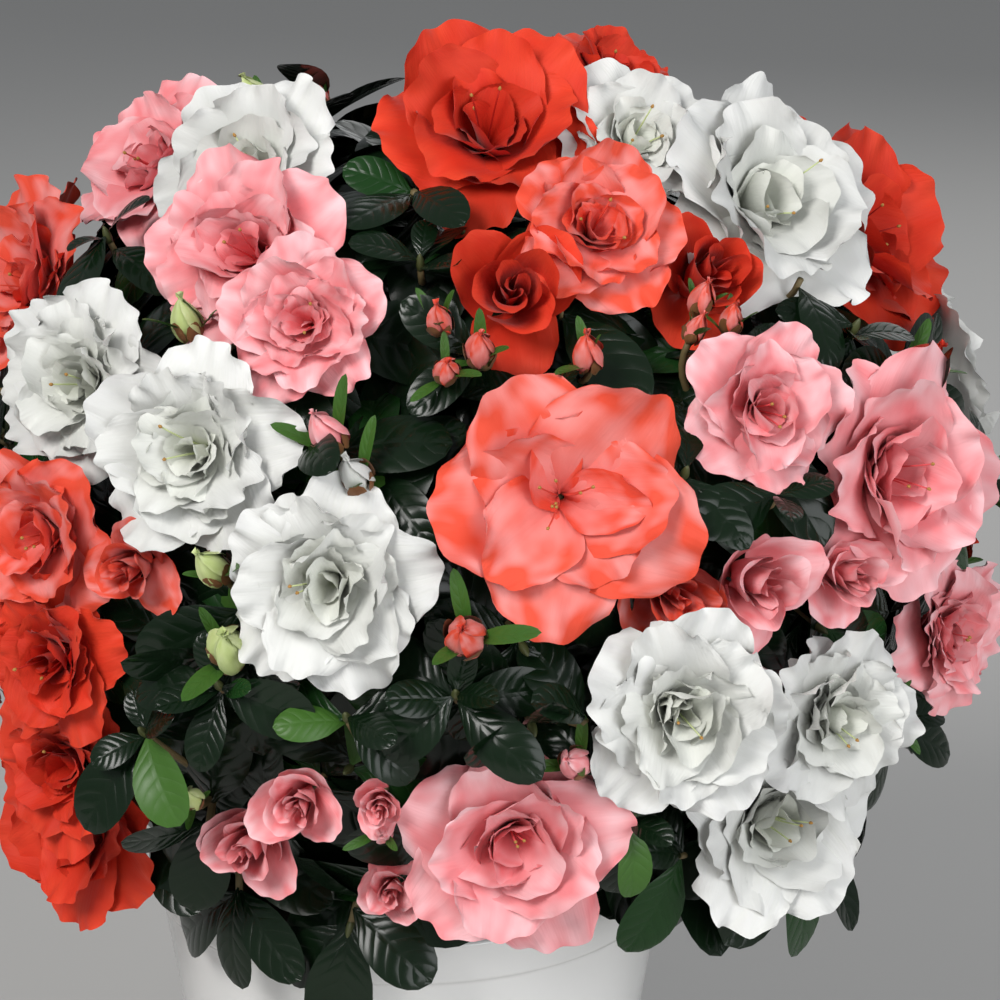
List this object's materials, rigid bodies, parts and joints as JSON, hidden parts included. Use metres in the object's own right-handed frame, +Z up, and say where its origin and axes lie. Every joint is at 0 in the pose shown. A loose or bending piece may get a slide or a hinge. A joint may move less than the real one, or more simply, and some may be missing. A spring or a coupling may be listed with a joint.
{
  "type": "potted azalea shrub",
  "caption": "Round azalea shrub in full bloom, dark leaves and ruffled double flowers in white, pink, coral and red, in a plain white tapering planter.",
  "frame": {"origin": "centre of the planter's flat underside", "axes": "+Z up, -Y towards the front of the crown, +X to the front's right"},
  "size_m": [0.3156, 0.2896, 0.3848],
  "materials": {
    "glaze": "smooth white glaze, softly glossy",
    "soil": "moist crumbly peat",
    "bark": "thin grey-brown bark, slightly rough",
    "leaf": "leathery dark green, glossy above",
    "young_leaf": "soft mid green, slightly glossy",
    "white_blossom": "matt white petals, faintly green in the throat",
    "pink_blossom": "matt salmon-pink petals with paler edges",
    "coral_blossom": "matt coral petals",
    "red_blossom": "matt orange-red petals",
    "bud_scale": "thin brown-green bud scales"
  },
  "bodies": {
    "root": {"planter": "glaze", "soil": "soil", "stem_1": "bark", "stem_2": "bark", "stem_3": "bark", "stem_4": "bark", "bough_top": "bark", "bough_upper_front": "bark", "bough_upper_left": "bark", "bough_upper_right": "bark", "bough_upper_back_right": "bark", "bough_upper_back_left": "bark", "bough_upper_side_left": "bark", "bough_front_left": "bark", "bough_front_centre": "bark", "bough_front_right": "bark", "bough_low_left": "bark", "bough_low_front": "bark", "bough_low_right": "bark", "bough_side_right": "bark", "bough_back_right": "bark", "bough_back": "bark", "bough_back_left": "bark", "bough_side_left": "bark", "mass_top": "red_blossom", "mass_upper_front": "coral_blossom", "mass_upper_left": "pink_blossom", "mass_upper_right": "white_blossom", "mass_upper_back_right": "pink_blossom", "mass_upper_back_left": "white_blossom", "mass_upper_side_left": "coral_blossom", "mass_front_left": "white_blossom", "mass_front_centre": "coral_blossom", "mass_front_right": "pink_blossom", "mass_low_left": "red_blossom", "mass_low_front": "pink_blossom", "mass_low_right": "white_blossom", "mass_side_right": "red_blossom", "mass_back_right": "white_blossom", "mass_back": "coral_blossom", "mass_back_left": "pink_blossom", "mass_side_left": "white_blossom"}
  },
  "joints": []
}
